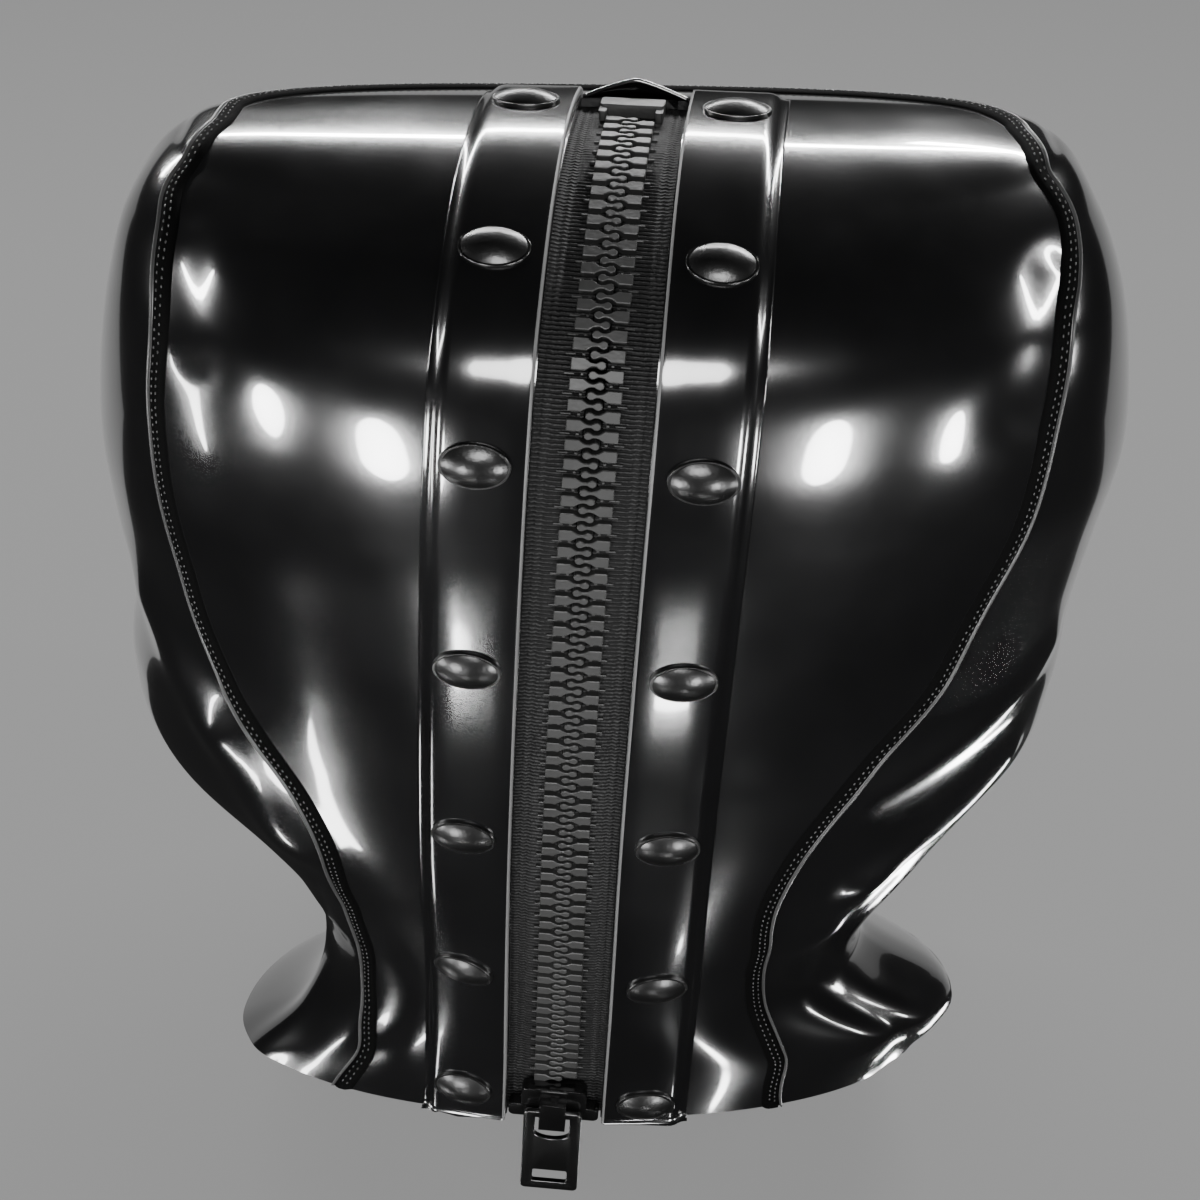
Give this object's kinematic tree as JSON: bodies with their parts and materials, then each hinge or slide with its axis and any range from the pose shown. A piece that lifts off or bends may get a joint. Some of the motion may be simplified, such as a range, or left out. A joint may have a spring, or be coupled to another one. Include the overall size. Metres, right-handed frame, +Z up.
{
  "type": "latex hood",
  "caption": "Glossy black whole-head latex hood with a moulded zip down the back, domed caps beside it and a flared collar.",
  "frame": {"origin": "highest point of the inner skin, where the crown of a head sits", "axes": "+Z up from neck to crown, face towards -Y, zip at the back towards +Y, +X the wearer's left"},
  "size_m": [0.1826, 0.1944, 0.2335],
  "materials": {
    "latex": "high gloss black latex",
    "latex_trim": "high gloss black latex, doubled",
    "seam_strip": "satin black latex strip with fine pricks",
    "zip_tape": "woven dark grey tape",
    "zip_plastic": "satin black moulded plastic",
    "zip_metal": "black painted metal",
    "snap_cap": "gloss black painted metal"
  },
  "bodies": {
    "hood": {"face_panel": "latex", "back_panel": "latex", "placket_left": "latex_trim", "placket_right": "latex_trim", "seam_strip": "seam_strip", "zip_tape_left": "zip_tape", "zip_tape_right": "zip_tape", "zip_teeth_left": "zip_plastic", "zip_teeth_right": "zip_plastic", "zip_top_stop": "zip_plastic", "zip_slider": "zip_metal", "snap_cap_left_1": "snap_cap", "snap_cap_left_2": "snap_cap", "snap_cap_left_3": "snap_cap", "snap_cap_left_4": "snap_cap", "snap_cap_left_5": "snap_cap", "snap_cap_left_6": "snap_cap", "snap_cap_left_7": "snap_cap", "snap_cap_right_1": "snap_cap", "snap_cap_right_2": "snap_cap", "snap_cap_right_3": "snap_cap", "snap_cap_right_4": "snap_cap", "snap_cap_right_5": "snap_cap", "snap_cap_right_6": "snap_cap", "snap_cap_right_7": "snap_cap"},
    "puller": {"zip_puller": "zip_metal"}
  },
  "joints": [
    {"name": "puller_swing", "type": "hinge", "parent": "hood", "child": "puller", "pos_m": [0.00729, 0.02999, -0.18857], "axis": [0.9976, -0.0513, 0.046], "range_deg": [-8, 128]}
  ]
}
